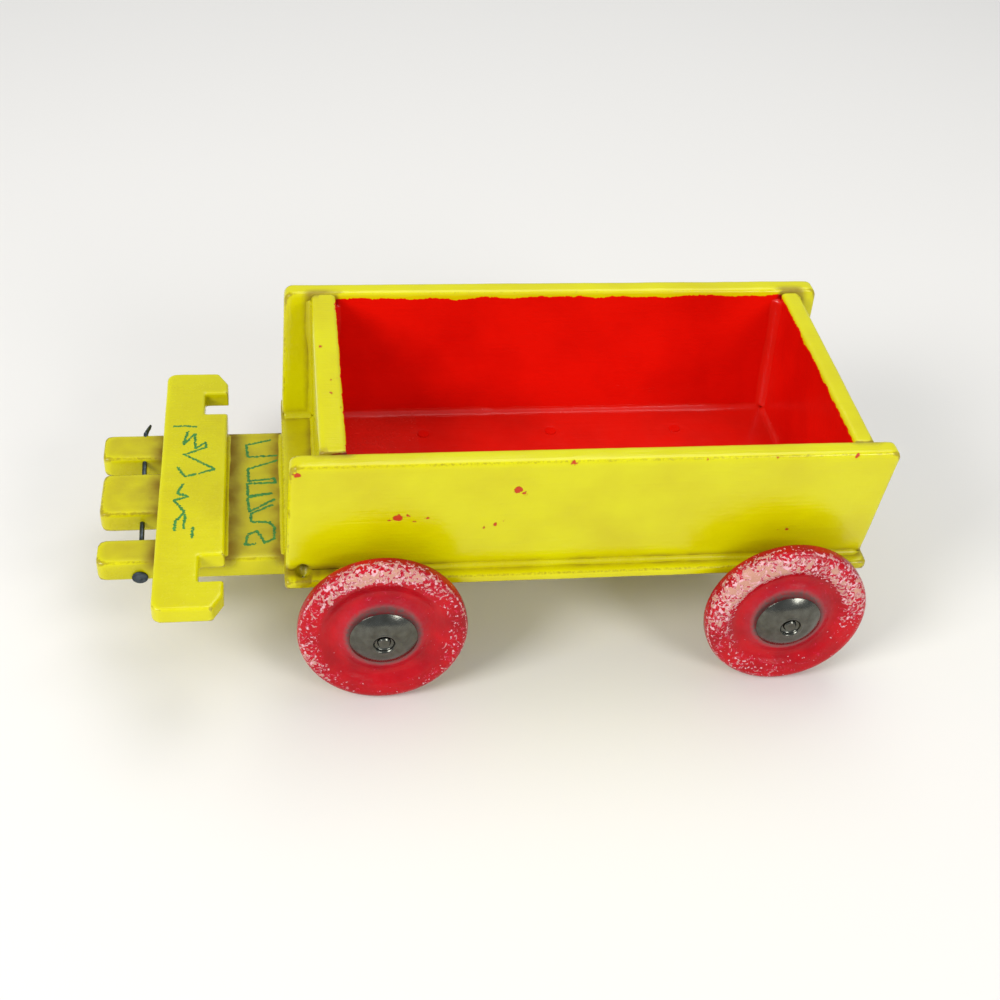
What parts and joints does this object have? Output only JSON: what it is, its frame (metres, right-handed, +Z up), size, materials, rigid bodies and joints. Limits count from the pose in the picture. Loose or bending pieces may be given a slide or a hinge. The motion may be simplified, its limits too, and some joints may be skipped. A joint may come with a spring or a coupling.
{
  "type": "toy wagon",
  "caption": "Painted wooden toy wagon: a flared open box on a chassis plank with turned wheels on steel axles, and a hooked crossbar and slotted draw end in front.",
  "frame": {"origin": "on the ground under the centre of the overall box", "axes": "+X to the rear (the draw end points to -X), +Y to the wagon's right-hand side, +Z up"},
  "size_m": [0.2949, 0.15, 0.1037],
  "materials": {
    "yellow_enamel": "thick gloss enamel on softwood",
    "red_enamel": "worn gloss enamel on turned hardwood",
    "cap_steel": "pressed steel, tarnished and pitted",
    "axle_steel": "drawn rod, dull",
    "nail_steel": "blued wire nail, darkened"
  },
  "bodies": {
    "root": {"chassis_plank": "yellow_enamel", "floor_board": "yellow_enamel", "left_side_board": "yellow_enamel", "right_side_board": "yellow_enamel", "headboard": "yellow_enamel", "tailboard": "yellow_enamel", "crossbar": "yellow_enamel", "hinge_nail": "nail_steel", "front_axle_block": "yellow_enamel", "rear_axle_block": "yellow_enamel", "left_side_board_nails": "nail_steel", "right_side_board_nails": "nail_steel", "headboard_nails": "nail_steel", "tailboard_nails": "nail_steel", "floor_board_nails": "nail_steel", "crossbar_nails": "nail_steel", "front_axle_block_nails": "nail_steel", "rear_axle_block_nails": "nail_steel"},
    "front_axle": {"front_axle": "axle_steel", "front_left_axle_cap": "cap_steel", "front_right_axle_cap": "cap_steel"},
    "front_left_wheel": {"front_left_wheel": "red_enamel"},
    "front_right_wheel": {"front_right_wheel": "red_enamel"},
    "rear_axle": {"rear_axle": "axle_steel", "rear_left_axle_cap": "cap_steel", "rear_right_axle_cap": "cap_steel"},
    "rear_left_wheel": {"rear_left_wheel": "red_enamel"},
    "rear_right_wheel": {"rear_right_wheel": "red_enamel"}
  },
  "joints": [
    {"name": "front_axle_spin", "type": "hinge", "parent": "root", "child": "front_axle", "pos_m": [-0.0404, 0, 0.032], "axis": [0, 1, 0], "continuous": true},
    {"name": "front_left_wheel_spin", "type": "hinge", "parent": "front_axle", "child": "front_left_wheel", "pos_m": [-0.0404, 0, 0.032], "axis": [0, 1, 0], "continuous": true},
    {"name": "front_right_wheel_spin", "type": "hinge", "parent": "front_axle", "child": "front_right_wheel", "pos_m": [-0.0404, 0, 0.032], "axis": [0, 1, 0], "continuous": true},
    {"name": "rear_axle_spin", "type": "hinge", "parent": "root", "child": "rear_axle", "pos_m": [0.1146, 0, 0.032], "axis": [0, 1, 0], "continuous": true},
    {"name": "rear_left_wheel_spin", "type": "hinge", "parent": "rear_axle", "child": "rear_left_wheel", "pos_m": [0.1146, 0, 0.032], "axis": [0, 1, 0], "continuous": true},
    {"name": "rear_right_wheel_spin", "type": "hinge", "parent": "rear_axle", "child": "rear_right_wheel", "pos_m": [0.1146, 0, 0.032], "axis": [0, 1, 0], "continuous": true}
  ]
}
